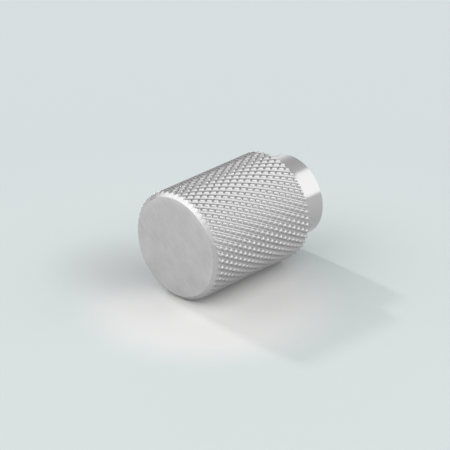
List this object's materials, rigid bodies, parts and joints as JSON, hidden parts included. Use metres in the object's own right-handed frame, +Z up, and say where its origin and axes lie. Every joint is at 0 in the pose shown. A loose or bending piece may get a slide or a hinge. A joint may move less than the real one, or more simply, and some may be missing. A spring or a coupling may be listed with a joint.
{
  "type": "knurled knob",
  "caption": "Turned metal knob with a diamond-knurled grip, a chamfered flat head and a plain foot with a tapped hole, screwed to a drawer or door.",
  "frame": {"origin": "Centre of the foot's flat back, which seats on the drawer front, in line with the knob's axis.", "axes": "Y is the knob's axis: the flat head points along -Y, away from the drawer, and the foot's back faces +Y. Z is up when the knob is fixed to an upright front, and X runs along the front."},
  "size_m": [0.02, 0.03, 0.02],
  "materials": {
    "knob": "satin, turned and knurled"
  },
  "bodies": {
    "root": {"knob": "knob"}
  },
  "joints": []
}
